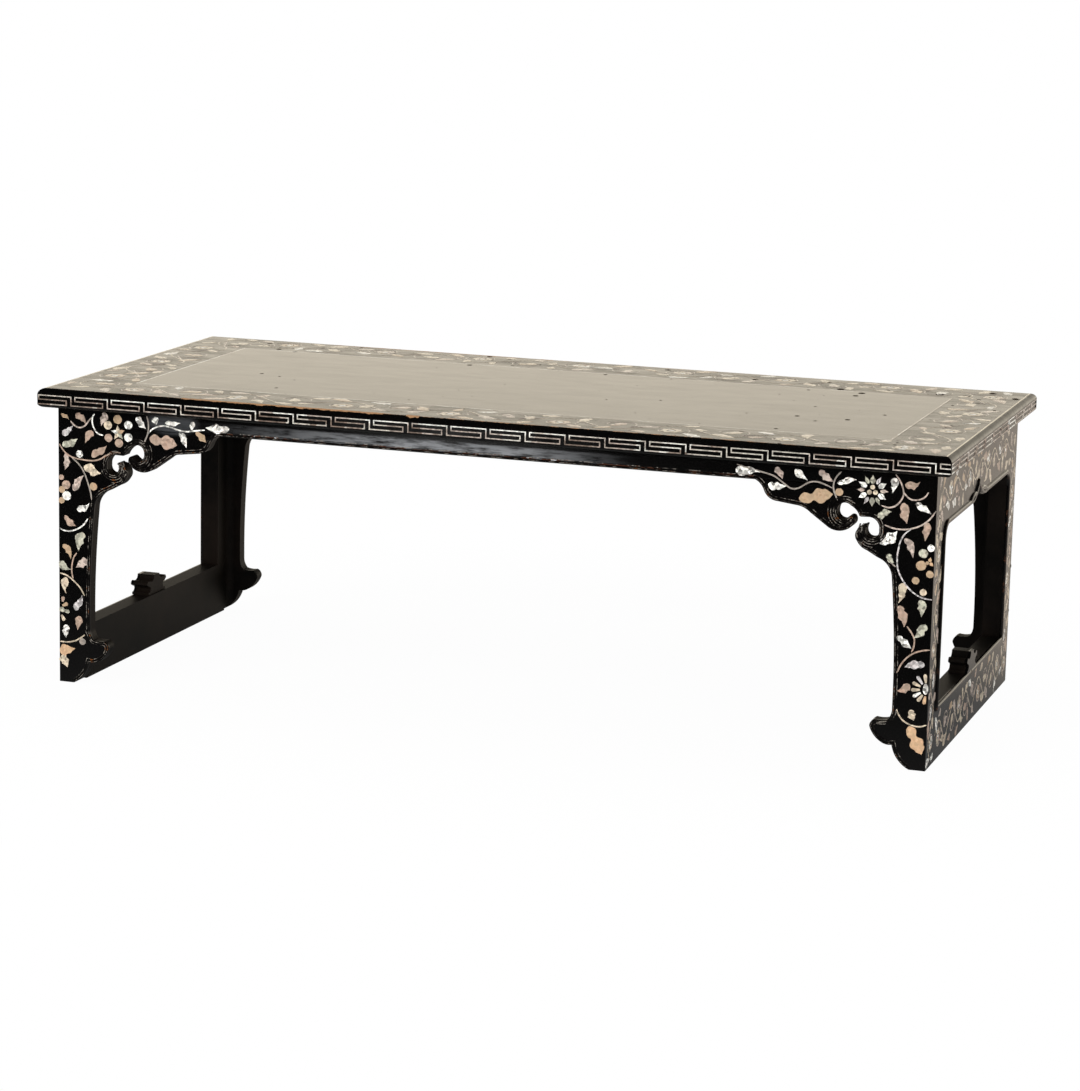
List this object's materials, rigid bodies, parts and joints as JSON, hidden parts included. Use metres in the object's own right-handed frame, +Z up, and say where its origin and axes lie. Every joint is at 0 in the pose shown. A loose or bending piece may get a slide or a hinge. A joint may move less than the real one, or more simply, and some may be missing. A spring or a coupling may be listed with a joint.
{
  "type": "kang table",
  "caption": "Low rectangular platform table with a mitred frame-and-panel top, scrolled spandrels, L-section legs with spurred feet, open ends and shell inlay on black lacquer.",
  "frame": {"origin": "centre of the footprint on the floor", "axes": "+X along the table's length, +Y towards the back, +Z up"},
  "size_m": [0.96, 0.44, 0.313],
  "materials": {
    "lacquered_wood": "gloss black lacquer over wood",
    "underside_wood": "thin brown-black lacquer",
    "shell_inlay": "polished mother-of-pearl, stood in for by a hard gloss plastic"
  },
  "bodies": {
    "root": {"frame_front": "lacquered_wood", "frame_back": "lacquered_wood", "frame_right": "lacquered_wood", "frame_left": "lacquered_wood", "top_board": "lacquered_wood", "leg_front_right": "lacquered_wood", "leg_front_left": "lacquered_wood", "leg_back_right": "lacquered_wood", "leg_back_left": "lacquered_wood", "apron_front": "lacquered_wood", "apron_back": "lacquered_wood", "spandrel_front_right": "lacquered_wood", "spandrel_front_left": "lacquered_wood", "spandrel_back_right": "lacquered_wood", "spandrel_back_left": "lacquered_wood", "end_apron_right": "lacquered_wood", "end_apron_left": "lacquered_wood", "base_rail_right": "lacquered_wood", "base_rail_left": "lacquered_wood", "ornament_right": "lacquered_wood", "ornament_left": "lacquered_wood", "batten_left": "underside_wood", "batten_middle": "underside_wood", "batten_right": "underside_wood", "fret_front": "shell_inlay", "fret_back": "shell_inlay", "fret_right": "shell_inlay", "fret_left": "shell_inlay", "field_line": "shell_inlay"}
  },
  "joints": []
}
